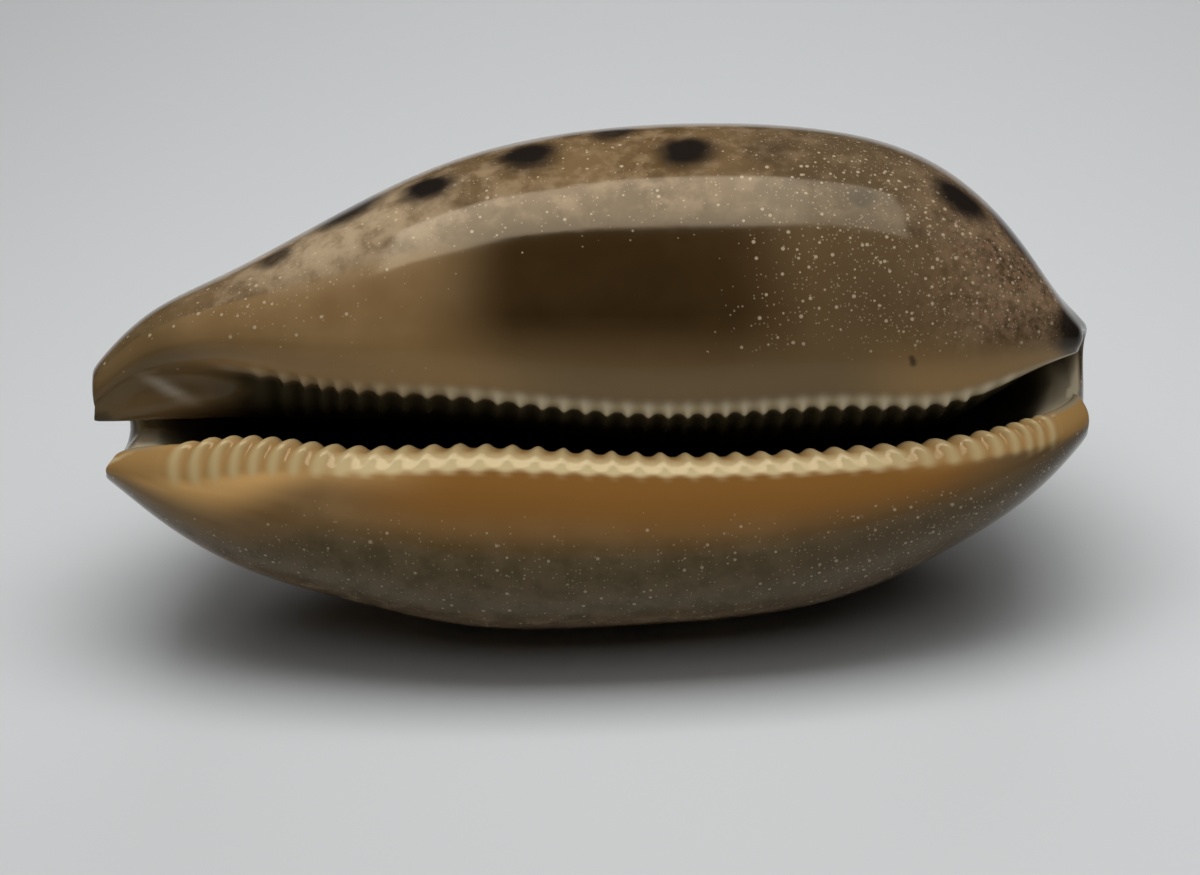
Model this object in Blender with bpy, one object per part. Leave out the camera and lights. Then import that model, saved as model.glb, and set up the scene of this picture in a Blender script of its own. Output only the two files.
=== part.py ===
"""A tortoise cowrie: one sea shell, lying on its back and turned so that its toothed slit faces forward and up.

The shell is one rolled sheet. Seen end on, its section runs from the edge of the outer lip, round the outer
lip's base, the low side, the back, the high side and the inner lip's base, over the inner lip's teeth and down
the columella wall inside the slit. Each section is a smooth curve through a few named points, and each point
follows its own smooth profile along the length, so the whole sheet is one spline surface. A second surface
lies inside it by the thickness of the wall, and the two close in a round rim at both lips and both ends.

Profiles are given in the shell's own frame, in millimetres: x runs from the anterior to the posterior end,
w runs from the outer lip's side to the columella's side, and n runs out through the slit. They hold one value
for each 15 degrees of an angle whose sine is the place along the length, which gives the blunt ends.
"""
import math

import bmesh
import bpy
import numpy as np

MM = 0.001

# Driving dimensions of the whole shell, millimetres and degrees
SHELL_TURN = 33.0
FLAT_DEPTH = 0.55

# Profiles of the section's named points, from the anterior end to the posterior end
PROFILE_STEP = 15.0
HIGH_SIDE_W = [9.2, 12.1, 16.5, 20.4, 25.8, 31.2, 33.8, 34.1, 32.8, 29.2, 21.6, 12.6, 8.7]
LOW_SIDE_W = [-1.1, -3.2, -7.9, -13.0, -16.9, -20.2, -20.9, -20.6, -18.7, -14.2, -9.2, -4.3, -1.4]
OUTER_LIP_W = [-0.2, 0.9, 1.2, 1.5, -0.1, -0.5, -1.9, -2.8, -2.8, -2.4, -1.1, 0.5, 1.9]
INNER_LIP_W = [5.6, 7.2, 9.6, 9.4, 6.9, 5.3, 3.1, 2.1, 2.25, 2.0, 4.4, 6.2, 7.0]
FOLD_W = [4.6, 4.4, 4.3, 4.1, 3.45, 2.4, 0.3, -1.1, -1.35, -0.7, 3.2, 6.2, 7.2]
SIDE_N = [4.8, 4.1, 3.0, 2.2, 1.6, 1.3, 1.2, 1.2, 1.4, 1.8, 2.6, 3.8, 4.8]
BACK_N = [0.6, -5.6, -13.2, -19.8, -23.9, -26.4, -27.2, -27.2, -25.9, -22.4, -15.9, -7.4, 0.6]
OUTER_LIP_N = [6.0, 6.7, 7.7, 8.75, 9.55, 10.15, 10.4, 10.45, 10.25, 9.75, 8.7, 7.2, 6.2]
INNER_LIP_N = [7.4, 8.4, 10.2, 11.9, 13.5, 14.6, 14.9, 14.9, 14.8, 14.0, 12.0, 9.4, 7.3]
FOLD_N = [6.6, 6.6, 6.6, 4.4, 3.3, 3.8, 4.0, 4.0, 4.0, 3.8, 4.0, 4.8, 5.6]
BASE_N = [8.0, 9.4, 11.6, 14.6, 16.8, 18.1, 18.6, 18.8, 18.5, 17.2, 14.3, 10.8, 8.0]

# Where each named point's line ends along the length: anterior, posterior
OUTER_LIP_ENDS = (-52.6, 52.2)
OUTER_BASE_ENDS = (-53.7, 53.1)
LOW_SIDE_ENDS = (-54.4, 53.5)
BACK_ENDS = (-52.2, 54.0)
HIGH_SIDE_ENDS = (-55.0, 52.6)
INNER_BASE_ENDS = (-55.0, 52.8)
INNER_LIP_ENDS = (-54.9, 52.3)
FOLD_ENDS = (-55.2, 51.6)

# Wall thickness, the angles over which the walls close at the ends, and how slender the ends are
OUTER_LIP_WALL = 5.0
LOW_SIDE_WALL = 3.0
BACK_WALL = 2.1
HIGH_SIDE_WALL = 2.7
INNER_BASE_WALL = 3.7
FOLD_WALL = 2.0
END_RIM_ANGLE = 7.0
KNOB_RIM_ANGLE = 11.0
SLENDERNESS = 0.5

# Where the named points between the lips and the sides lie: shares of the way across, and rises
OUTER_BASE_SHARE = 0.33
OUTER_BASE_RISE = (1.0, 3.5)
LIP_SLOPE_SHARE = 0.48
LIP_SLOPE_RISE = 0.66
LOW_ROUNDNESS = 0.72
HIGH_ROUNDNESS = 0.71
INNER_BASE_SHARE = 0.4
SLOPE_SHARE = 0.4
SLOPE_RISE = 0.42
BROW_SHARE = 0.12
BROW_RISE = 0.23
CRISP_FROM = 0.3
CRISP_OVER = 0.45
LIP_FOOT_SHARE = 0.14
LIP_FOOT_W = -0.45
LIP_FOOT_DROP = 1.5
WALL_SHARE = 0.45
WALL_W = -0.5
UNDER_W = (1.4, 2.0)
UNDER_DROP = (0.6, 3.4)
INSIDE_UNDER_DROP = 2.6

# Directions of the rounded walls as shares across and out, and the shares at which a closed end's points lie
LIP_FACES = (0.5, 0.87)
HALFWAY_ROUND = 0.71
CLOSED_SHARES = (0.2, 0.4, 0.65, 0.85)
CANAL_FROM = 0.62
CANAL_OVER = 0.34
CANAL_SHARES = (0.0, 0.14, 0.27, 0.42, 0.7)
CANAL_FLOOR = 0.55
HOLLOW_FROM = 0.35
HOLLOW_OVER = 0.4

# Teeth: where every fifth one stands along each lip, how far they rise and how far they run
TOOTH_NUMBERS = [-5, 0, 5, 10, 15, 20, 25, 30, 34, 37, 42]
OUTER_TEETH_X = [-44.2, -32.9, -20.5, -6.6, 6.3, 19.6, 32.8, 42.7, 47.3]
INNER_TEETH_X = [-39.7, -27.6, -15.6, -3.7, 7.4, 17.5, 28.1, 37.0, 43.9]
OUTER_TOOTH_RISE = 0.26
INNER_TOOTH_RISE = 0.26
OUTER_TOOTH_LENGTH = 2.8
TOOTH_LENGTHENING = 2.0
TOOTH_FADE = (1.5, 1.3, 1.8)
INNER_TOOTH_LENGTH = 2.0
TOOTH_FAN = 0.015
TOOTH_FAN_REACH = 7.0

# How finely the surface is divided: columns for each tooth, steps between the section's named points
COLUMNS_PER_TOOTH = 2
SPAN_STEPS = [1, 1, 2, 2, 5, 3, 3, 3, 2, 2, 1, 1, 1, 1, 1, 1]
INNER_STRIDE = 3

# The spire's low knob at the posterior end
KNOB_W = 8.8
KNOB_N = 3.5
KNOB_RADIUS = 3.8
KNOB_RISE = 1.5
KNOB_FROM_X = 43.0
KNOB_OVER_X = 8.0


def clear_scene():
    """Remove what the scene holds."""
    for thing in list(bpy.data.objects):
        bpy.data.objects.remove(thing, do_unlink=True)


def mix(low, high, share):
    """The value a share of the way from low to high."""
    return low + (high - low) * share


def ease(value):
    """A smooth step from 0 to 1."""
    value = np.clip(value, 0.0, 1.0)
    return value * value * (3.0 - 2.0 * value)


def spline_weights(knots, places):
    """Weights that read a natural cubic spline at the places, one row for each place and a column for each knot."""
    knots = np.asarray(knots, float)
    places = np.asarray(places, float)
    count = len(knots)
    gap = np.diff(knots)
    left = np.eye(count)
    right = np.zeros((count, count))
    for i in range(1, count - 1):
        left[i, i - 1:i + 2] = gap[i - 1], 2 * (gap[i - 1] + gap[i]), gap[i]
        right[i, i - 1:i + 2] = 6 / gap[i - 1], -6 / gap[i - 1] - 6 / gap[i], 6 / gap[i]
    bend = np.linalg.solve(left, right)
    cell = np.clip(np.searchsorted(knots, places, side="right") - 1, 0, count - 2)
    far = ((places - knots[cell]) / gap[cell])[:, None]
    near = 1.0 - far
    pick = np.eye(count)
    width = gap[cell][:, None] ** 2 / 6.0
    straight = near * pick[cell] + far * pick[cell + 1]
    curved = width * ((near ** 3 - near) * bend[cell] + (far ** 3 - far) * bend[cell + 1])
    return straight + curved


def profile(values, angle):
    """Read a profile along the length at an array of angles, in radians."""
    stations = np.radians(-90.0 + PROFILE_STEP * np.arange(len(values)))
    flat = spline_weights(stations, np.ravel(angle)) @ np.array(values, float)
    return flat.reshape(np.shape(angle))


def point(ends, w, n, angle):
    """One named point of every section: its place along the length, across and out."""
    x = mix(ends[0], ends[1], (1.0 + np.sin(angle)) / 2.0)
    return np.stack([x, w, n], axis=-1)


def shoulder(side, crown, fullness):
    """The point of a rounded quarter halfway between a side, where it is steep, and a crown, where it is level."""
    x = mix(side[..., 0], crown[..., 0], 0.5)
    w = mix(crown[..., 1], side[..., 1], fullness)
    n = mix(side[..., 2], crown[..., 2], fullness)
    return np.stack([x, w, n], axis=-1)


def shifted(base, w, n):
    """A point moved across and out by the given amounts, which may change along the length."""
    zero = np.zeros(base.shape[:-1])
    return base + np.stack([zero, zero + w, zero + n], axis=-1)


def inset(base, wall, w, n, angle):
    """A point moved in by the wall's thickness: across and out by the given shares, and inward at the ends."""
    end, side = SLENDERNESS * np.sin(angle), np.cos(angle)
    slant = np.hypot(end, side)
    return base + np.stack([-wall * end / slant, w * wall * side / slant, n * wall * side / slant], axis=-1)


def named_points(angle):
    """The named points of the section's outer and inner curves, for each angle."""
    side_n = profile(SIDE_N, angle)
    high_w = profile(HIGH_SIDE_W, angle)
    low_w = profile(LOW_SIDE_W, angle)
    outer_lip_w = profile(OUTER_LIP_W, angle)
    inner_lip_w = profile(INNER_LIP_W, angle)
    outer_lip_n = profile(OUTER_LIP_N, angle)
    fullness = np.cos(angle)

    edge = point(OUTER_LIP_ENDS, outer_lip_w, outer_lip_n, angle)
    outer_base_w = mix(outer_lip_w, low_w, OUTER_BASE_SHARE)
    outer_base_n = outer_lip_n + OUTER_BASE_RISE[0] + OUTER_BASE_RISE[1] * fullness
    outer_base = point(OUTER_BASE_ENDS, outer_base_w, outer_base_n, angle)
    low_side = point(LOW_SIDE_ENDS, low_w, side_n, angle)
    back = point(BACK_ENDS, (low_w + high_w) / 2.0, profile(BACK_N, angle), angle)
    high_side = point(HIGH_SIDE_ENDS, high_w, side_n, angle)
    inner_base = point(INNER_BASE_ENDS, mix(inner_lip_w, high_w, INNER_BASE_SHARE), profile(BASE_N, angle), angle)
    inner_lip = point(INNER_LIP_ENDS, inner_lip_w, profile(INNER_LIP_N, angle), angle)
    fold = point(FOLD_ENDS, profile(FOLD_W, angle), profile(FOLD_N, angle), angle)

    half = OUTER_LIP_WALL / 2.0 * mix(0.5, 1.0, fullness)
    crisp = ease((fullness - CRISP_FROM) / CRISP_OVER)
    foot_share = LIP_FOOT_SHARE * (1.0 - crisp[..., None])
    rise = inner_base[..., 2] - inner_lip[..., 2]
    lip_top = shifted(edge, LIP_FACES[0] * half, LIP_FACES[1] * half)
    low_shoulder = shoulder(low_side, outer_base, LOW_ROUNDNESS)
    low_back = shoulder(low_side, back, LOW_ROUNDNESS)
    high_back = shoulder(high_side, back, HIGH_ROUNDNESS)
    high_shoulder = shoulder(high_side, inner_base, HIGH_ROUNDNESS)
    outer = [
        lip_top,
        shifted(mix(lip_top, outer_base, LIP_SLOPE_SHARE), 0.0, LIP_SLOPE_RISE * fullness),
        outer_base,
        low_shoulder,
        low_side,
        low_back,
        back,
        high_back,
        high_side,
        high_shoulder,
        inner_base,
        shifted(mix(inner_lip, inner_base, SLOPE_SHARE), 0.0, SLOPE_RISE * rise),
        shifted(mix(inner_lip, inner_base, BROW_SHARE), 0.0, BROW_RISE * rise),
        inner_lip,
        shifted(mix(inner_lip, fold, foot_share), LIP_FOOT_W * crisp, -LIP_FOOT_DROP * crisp),
        shifted(mix(fold, inner_lip, WALL_SHARE), WALL_W * crisp, 0.0),
        fold,
        shifted(fold, UNDER_W[0] * fullness, -UNDER_DROP[0] - UNDER_DROP[1] * fullness),
    ]

    hollow = ease((fullness - HOLLOW_FROM) / HOLLOW_OVER)[..., None]
    inside_high = inset(high_side, HIGH_SIDE_WALL, -1.0, 0.0, angle)
    under = shifted(fold, UNDER_W[1] * fullness, -UNDER_DROP[0] - INSIDE_UNDER_DROP * fullness)
    under = inset(under, FOLD_WALL, 0.8, 0.0, angle)
    open_points = [
        inset(high_shoulder, HIGH_SIDE_WALL, -1.0, -1.0, angle),
        inset(inner_base, INNER_BASE_WALL, 0.0, -1.0, angle),
        inset(inner_lip, INNER_BASE_WALL, 0.8, -0.65, angle),
        inset(fold, FOLD_WALL, 1.0, 0.0, angle),
    ]
    closed_points = [mix(inside_high, under, share) for share in CLOSED_SHARES]
    canal = ease((CANAL_FROM - fullness) / CANAL_OVER)[..., None]
    inside_edge = inset(edge, half, -LIP_FACES[0], -LIP_FACES[1], angle)
    inside_back = inset(back, BACK_WALL, 0.0, 1.0, angle)
    rise_to_edge = np.maximum(inside_edge[..., 2] - inside_back[..., 2], 0.0)
    inside_back = shifted(inside_back, 0.0, CANAL_FLOOR * canal[..., 0] * rise_to_edge)
    round_points = [
        inside_edge,
        inset(outer_base, 2.0 * half, 0.0, -1.0, angle),
        inset(low_shoulder, LOW_SIDE_WALL, 1.0, -1.0, angle),
        inset(low_side, LOW_SIDE_WALL, 1.0, 0.0, angle),
        inset(low_back, BACK_WALL, HALFWAY_ROUND, HALFWAY_ROUND, angle),
    ]
    sloping_points = [mix(inside_edge, inside_back, share) for share in CANAL_SHARES]
    inner = [
        *[mix(full, slant, canal) for full, slant in zip(round_points, sloping_points)],
        inside_back,
        inset(high_back, BACK_WALL, -HALFWAY_ROUND, HALFWAY_ROUND, angle),
        inside_high,
        *[mix(shut, clear, hollow) for shut, clear in zip(closed_points, open_points)],
        under,
    ]
    return np.stack(outer, axis=-2), np.stack(inner, axis=-2)


OUTER_NAMES = ["edge", "lip_slope", "outer_base", "low_shoulder", "low_side", "low_back", "back", "high_back",
               "high_side", "high_shoulder", "inner_base", "slope", "brow", "inner_lip", "lip_foot", "wall",
               "fold", "under"]
INNER_FOLLOWS = [0, 2, 3, 4, 5, 6, 7, 8, 9, 10, 13, 16, 17]


def section_knots():
    """How far along the middle section each named point of its outer curve lies."""
    outer, _ = named_points(np.zeros(1))
    steps = np.linalg.norm(np.diff(outer[0, :, 1:], axis=0), axis=1)
    return np.concatenate([[0.0], np.cumsum(steps)])


def section_places(knots):
    """The places round the section, from the outer lip's edge to the end of the columella wall."""
    rim = OUTER_LIP_WALL / 2.0
    places = [rim * (1.0 - math.cos(math.radians(a))) for a in (0, 30, 60, 90)]
    for i, count in enumerate(SPAN_STEPS):
        start = max(knots[i], rim)
        places += [mix(start, knots[i + 1], (j + 1) / count) for j in range(count)]
    rim = FOLD_WALL / 2.0
    places += [knots[-1] - rim * (1.0 - math.cos(math.radians(a))) for a in (90, 45, 0)]
    return np.array(places)


def tooth_angles(teeth_x, ends, numbers):
    """The angle along the length at which each tooth number stands on a lip, from where every fifth one is."""
    middle = (ends[0] + ends[1]) / 2.0
    reach = (ends[1] - ends[0]) / 2.0
    known = np.arcsin((np.array(teeth_x) - middle) / reach)
    known = np.concatenate([[-math.pi / 2.0], known, [math.pi / 2.0]])
    return spline_weights(TOOTH_NUMBERS, numbers) @ known


def column_angles(numbers, places, knots):
    """The angle of each column at each place: columns run along the teeth of both lips and over the back."""
    outer = tooth_angles(OUTER_TEETH_X, OUTER_LIP_ENDS, numbers)[:, None]
    inner = tooth_angles(INNER_TEETH_X, INNER_LIP_ENDS, numbers)[:, None]
    base, far_base = knots[OUTER_NAMES.index("outer_base")], knots[OUTER_NAMES.index("inner_base")]
    angle = mix(outer, inner, ease((places - base) / (far_base - base))[None, :])
    fan = TOOTH_FAN * places * np.exp(-(places / TOOTH_FAN_REACH) ** 2)
    return np.clip(angle + fan[None, :] * np.sin(2.0 * outer), -math.pi / 2.0, math.pi / 2.0)


def round_rim(distance, radius):
    """How open the wall is at a distance from its edge, so that the edge is a half circle."""
    near = 1.0 - np.clip(distance / radius, 0.0, 1.0)
    return np.sqrt(1.0 - near * near)


def sheet(numbers, places, knots):
    """The outer and inner surfaces at each column and place, closed in a rim all round."""
    angle = column_angles(numbers, places, knots)
    outer_points, inner_points = named_points(angle)
    outer = np.einsum("cpnk,pn->cpk", outer_points, spline_weights(knots, places))
    inner = np.einsum("cpnk,pn->cpk", inner_points, spline_weights(knots[INNER_FOLLOWS], places))
    open_lips = round_rim(places, OUTER_LIP_WALL / 2.0) * round_rim(knots[-1] - places, FOLD_WALL / 2.0)
    high_side, inner_base = knots[OUTER_NAMES.index("high_side")], knots[OUTER_NAMES.index("inner_base")]
    rim = mix(END_RIM_ANGLE, KNOB_RIM_ANGLE, ease((places - high_side) / (inner_base - high_side)))
    open_ends = round_rim(90.0 - np.degrees(np.abs(angle)), rim[None, :])
    opening = (open_lips[None, :] * open_ends)[..., None]
    middle = (outer + inner) / 2.0
    half = (outer - inner) / 2.0
    return middle + opening * half, middle - opening * half


def outward(outer, inner):
    """Unit normals of the outer surface, worked out on the closed section that both surfaces make."""
    ring = np.concatenate([outer, inner[:, -2:0:-1]], axis=1)
    round_it = np.roll(ring, -1, axis=1) - np.roll(ring, 1, axis=1)
    along_it = np.gradient(ring, axis=0)
    normal = np.cross(round_it, along_it)
    normal /= np.maximum(np.linalg.norm(normal, axis=-1, keepdims=True), 1e-9)
    return normal[:, :outer.shape[1]]


def tooth_length(numbers):
    """How far the outer lip's teeth run at each tooth number: longest towards both ends."""
    return OUTER_TOOTH_LENGTH * (1.0 + TOOTH_LENGTHENING * np.abs(2.0 * numbers / TOOTH_NUMBERS[-2] - 1.0) ** 3)


def tooth_rise(numbers, places, knots):
    """How far the teeth lift the outer surface at each column and place."""
    inner_lip = knots[OUTER_NAMES.index("inner_lip")]
    fold = knots[OUTER_NAMES.index("fold")]
    last = TOOTH_NUMBERS[-2]
    ends = ease((numbers + 1.0) / 2.0) * ease((last + 1.0 - numbers) / 2.0)
    reach = tooth_length(numbers)[:, None]
    fade = ease((TOOTH_FADE[0] * reach - places[None, :]) / (TOOTH_FADE[1] * reach)) ** TOOTH_FADE[2]
    past = places - inner_lip
    inner = np.where(past < 0.0, ease(1.0 + past / INNER_TOOTH_LENGTH), ease(1.0 - past / (fold - inner_lip)))
    inner_ends = ease((numbers - 0.2) / 1.5) * ease((last - 0.8 - numbers) / 1.5)
    wave = np.cos(2.0 * math.pi * numbers)
    outer = (wave * ends)[:, None] * OUTER_TOOTH_RISE * fade
    return outer + (wave * inner_ends)[:, None] * INNER_TOOTH_RISE * inner


def knob(points):
    """Push the posterior end of the inner lip's side out into the spire's knob."""
    across = (points[..., 1] - KNOB_W) ** 2 + (points[..., 2] - KNOB_N) ** 2
    rise = KNOB_RISE * np.exp(-across / KNOB_RADIUS ** 2) * ease((points[..., 0] - KNOB_FROM_X) / KNOB_OVER_X)
    zero = np.zeros(rise.shape)
    return points + np.stack([rise, zero, zero], axis=-1)


def laid_down(points):
    """Turn points of the shell's frame into the part's frame, with w and n turned to lie as the shell rests."""
    turn = math.radians(SHELL_TURN)
    x, w, n = points[..., 0], points[..., 1], points[..., 2]
    return np.stack([x, w * math.sin(turn) - n * math.cos(turn), w * math.cos(turn) + n * math.sin(turn)], axis=-1)


def stood_on_floor(outer, inner):
    """Centre both surfaces over the origin and rest them on z = 0, on a small flat worn on the underside."""
    low = outer.min(axis=(0, 1))
    high = outer.max(axis=(0, 1))
    drop = np.array([(low[0] + high[0]) / 2.0, (low[1] + high[1]) / 2.0, low[2] + FLAT_DEPTH])
    outer = outer - drop
    outer[..., 2] = np.maximum(outer[..., 2], 0.0)
    return outer, inner - drop


# Each four-cornered face is cut from its corner nearest the sheet's own corner: by half along, half round
CUT_FROM = {(False, False): 0, (False, True): 1, (True, True): 2, (True, False): 3}


def shell_mesh(outer, inner, kept):
    """One closed mesh from the two surfaces; the inner one has only the kept places."""
    mesh = bpy.data.meshes.new("shell")
    bm = bmesh.new()
    last = len(outer) - 1
    outside = [[bm.verts.new(p * MM) for p in column] for column in outer]
    inside = []
    for i, column in enumerate(inner):
        if i in (0, last):
            inside.append({j: outside[i][j] for j in kept})
        else:
            inside.append({j: bm.verts.new(column[j] * MM) for j in kept[1:-1]})
            inside[i].update({j: outside[i][j] for j in (kept[0], kept[-1])})
    outer_faces, inner_faces = [], []
    for i in range(last):
        for j in range(kept[-1]):
            corners = [outside[i][j], outside[i][j + 1], outside[i + 1][j + 1], outside[i + 1][j]]
            start = CUT_FROM[2 * i >= last, 2 * j >= kept[-1]]
            outer_faces.append(bm.faces.new(corners[start:] + corners[:start]))
        for a, b in zip(kept, kept[1:]):
            near = outside[i][a:b + 1] if i == 0 else [inside[i][a], inside[i][b]]
            far = outside[last][a:b + 1] if i + 1 == last else [inside[i + 1][a], inside[i + 1][b]]
            inner_faces.append(bm.faces.new(near[::-1] + far))
    bmesh.ops.triangulate(bm, faces=outer_faces, quad_method="FIXED", ngon_method="BEAUTY")
    bmesh.ops.triangulate(bm, faces=inner_faces, quad_method="BEAUTY", ngon_method="BEAUTY")
    bmesh.ops.recalc_face_normals(bm, faces=bm.faces[:])
    bm.to_mesh(mesh)
    bm.free()
    mesh.shade_smooth()
    return mesh


def shell_material():
    """Glossy brown shell."""
    material = bpy.data.materials.new("cowrie")
    material.use_nodes = True
    shader = material.node_tree.nodes["Principled BSDF"]
    shader.inputs["Base Color"].default_value = (0.33, 0.22, 0.13, 1.0)
    shader.inputs["Roughness"].default_value = 0.16
    shader.inputs["Metallic"].default_value = 0.0
    return material


def make_shell():
    """Model the shell and place it at the origin."""
    knots = section_knots()
    places = section_places(knots)
    first, last = TOOTH_NUMBERS[0], TOOTH_NUMBERS[-1]
    numbers = np.linspace(first, last, round((last - first) * COLUMNS_PER_TOOTH) + 1)
    outer, inner = sheet(numbers, places, knots)
    outer = outer + outward(outer, inner) * tooth_rise(numbers, places, knots)[..., None]
    outer, inner = stood_on_floor(laid_down(knob(outer)), laid_down(knob(inner)))
    kept = sorted(set(range(0, len(places), INNER_STRIDE)) | {len(places) - 1})
    shell = bpy.data.objects.new("shell", shell_mesh(outer, inner, kept))
    shell.data.materials.append(shell_material())
    bpy.context.scene.collection.objects.link(shell)


clear_scene()
make_shell()
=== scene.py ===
"""The looks of a tortoise cowrie shell lying on its back on a pale table, its toothed slit forward and up.

The shell is one rolled sheet. Its section runs from the edge of the outer lip, round the outer lip's base,
the low side, the back, the high side and the inner lip's base, over the inner lip's teeth and down the
columella wall inside the slit. Each section is a natural cubic spline through named points, and each named
point follows its own spline along the length, so position = sum over named points of (weight round the
section) x (weight along the length) x (value). Lengths are in millimetres in the shell's own frame: x runs
from the anterior to the posterior end, w from the outer lip's side to the columella's side, n out through
the slit. Colour zones are masks of s, the way round the section, and of x.
"""
import math

import bpy
import numpy as np
from mathutils import Matrix, Vector


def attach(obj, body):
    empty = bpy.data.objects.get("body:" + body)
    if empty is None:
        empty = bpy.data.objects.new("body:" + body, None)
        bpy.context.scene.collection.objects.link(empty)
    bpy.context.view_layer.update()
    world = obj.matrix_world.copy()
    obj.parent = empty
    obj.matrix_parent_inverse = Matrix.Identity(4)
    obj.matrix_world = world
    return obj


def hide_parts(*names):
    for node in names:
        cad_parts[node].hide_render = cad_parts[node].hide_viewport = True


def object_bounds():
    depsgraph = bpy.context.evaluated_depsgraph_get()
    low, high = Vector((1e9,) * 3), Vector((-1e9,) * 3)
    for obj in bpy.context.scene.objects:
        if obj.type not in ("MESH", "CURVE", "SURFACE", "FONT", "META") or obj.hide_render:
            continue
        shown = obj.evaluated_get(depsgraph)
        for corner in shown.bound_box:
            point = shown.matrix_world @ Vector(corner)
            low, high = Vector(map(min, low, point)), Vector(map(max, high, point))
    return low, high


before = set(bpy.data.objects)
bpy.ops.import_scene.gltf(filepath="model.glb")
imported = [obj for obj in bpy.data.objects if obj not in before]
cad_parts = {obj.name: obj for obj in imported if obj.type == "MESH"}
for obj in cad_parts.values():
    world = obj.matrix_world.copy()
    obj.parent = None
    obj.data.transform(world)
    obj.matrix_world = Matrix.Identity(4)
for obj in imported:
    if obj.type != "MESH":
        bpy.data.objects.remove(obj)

CAD_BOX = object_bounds()
MM = 0.001

# How the shell lies
SHELL_TURN = 33.0
FLAT_DEPTH = 0.55

# Profiles of the section's named points, one value for each 15 degrees along the length
PROFILE_STEP = 15.0
HIGH_SIDE_W = [9.2, 12.1, 16.5, 20.4, 25.8, 31.2, 33.8, 34.1, 32.8, 29.2, 21.6, 12.6, 8.7]
LOW_SIDE_W = [-1.1, -3.2, -7.9, -13.0, -16.9, -20.2, -20.9, -20.6, -18.7, -14.2, -9.2, -4.3, -1.4]
OUTER_LIP_W = [-0.2, 0.9, 1.2, 1.5, -0.1, -0.5, -1.9, -2.8, -2.8, -2.4, -1.1, 0.5, 1.9]
INNER_LIP_W = [5.6, 7.2, 9.6, 9.4, 6.9, 5.3, 3.1, 2.1, 2.25, 2.0, 4.4, 6.2, 7.0]
FOLD_W = [4.6, 4.4, 4.3, 4.1, 3.45, 2.4, 0.3, -1.1, -1.35, -0.7, 3.2, 6.2, 7.2]
SIDE_N = [4.8, 4.1, 3.0, 2.2, 1.6, 1.3, 1.2, 1.2, 1.4, 1.8, 2.6, 3.8, 4.8]
BACK_N = [0.6, -5.6, -13.2, -19.8, -23.9, -26.4, -27.2, -27.2, -25.9, -22.4, -15.9, -7.4, 0.6]
OUTER_LIP_N = [6.0, 6.7, 7.7, 8.75, 9.55, 10.15, 10.4, 10.45, 10.25, 9.75, 8.7, 7.2, 6.2]
INNER_LIP_N = [7.4, 8.4, 10.2, 11.9, 13.5, 14.6, 14.9, 14.9, 14.8, 14.0, 12.0, 9.4, 7.3]
FOLD_N = [6.6, 6.6, 6.6, 4.4, 3.3, 3.8, 4.0, 4.0, 4.0, 3.8, 4.0, 4.8, 5.6]
BASE_N = [8.0, 9.4, 11.6, 14.6, 16.8, 18.1, 18.6, 18.8, 18.5, 17.2, 14.3, 10.8, 8.0]

# Where each named point's line ends along the length: anterior, posterior
OUTER_LIP_ENDS = (-52.6, 52.2)
OUTER_BASE_ENDS = (-53.7, 53.1)
LOW_SIDE_ENDS = (-54.4, 53.5)
BACK_ENDS = (-52.2, 54.0)
HIGH_SIDE_ENDS = (-55.0, 52.6)
INNER_BASE_ENDS = (-55.0, 52.8)
INNER_LIP_ENDS = (-54.9, 52.3)
FOLD_ENDS = (-55.2, 51.6)

# Wall thickness, the angles over which the walls close at the ends, and how slender the ends are
OUTER_LIP_WALL = 5.0
LOW_SIDE_WALL = 3.0
BACK_WALL = 2.1
HIGH_SIDE_WALL = 2.7
INNER_BASE_WALL = 3.7
FOLD_WALL = 2.0
END_RIM_ANGLE = 7.0
KNOB_RIM_ANGLE = 11.0
SLENDERNESS = 0.5

# Where the named points between the lips and the sides lie: shares of the way across, and rises
OUTER_BASE_SHARE = 0.33
OUTER_BASE_RISE = (1.0, 3.5)
LIP_SLOPE_SHARE = 0.48
LIP_SLOPE_RISE = 0.66
LOW_ROUNDNESS = 0.72
HIGH_ROUNDNESS = 0.71
INNER_BASE_SHARE = 0.4
SLOPE_SHARE = 0.4
SLOPE_RISE = 0.42
BROW_SHARE = 0.12
BROW_RISE = 0.23
CRISP_FROM = 0.3
CRISP_OVER = 0.45
LIP_FOOT_SHARE = 0.14
LIP_FOOT_W = -0.45
LIP_FOOT_DROP = 1.5
WALL_SHARE = 0.45
WALL_W = -0.5
UNDER_W = (1.4, 2.0)
UNDER_DROP = (0.6, 3.4)
INSIDE_UNDER_DROP = 2.6

# Directions of the rounded walls as shares across and out, and the shares at which a closed end's points lie
LIP_FACES = (0.5, 0.87)
HALFWAY_ROUND = 0.71
CLOSED_SHARES = (0.2, 0.4, 0.65, 0.85)
CANAL_FROM = 0.62
CANAL_OVER = 0.34
CANAL_SHARES = (0.0, 0.14, 0.27, 0.42, 0.7)
CANAL_FLOOR = 0.55
HOLLOW_FROM = 0.35
HOLLOW_OVER = 0.4

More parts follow.
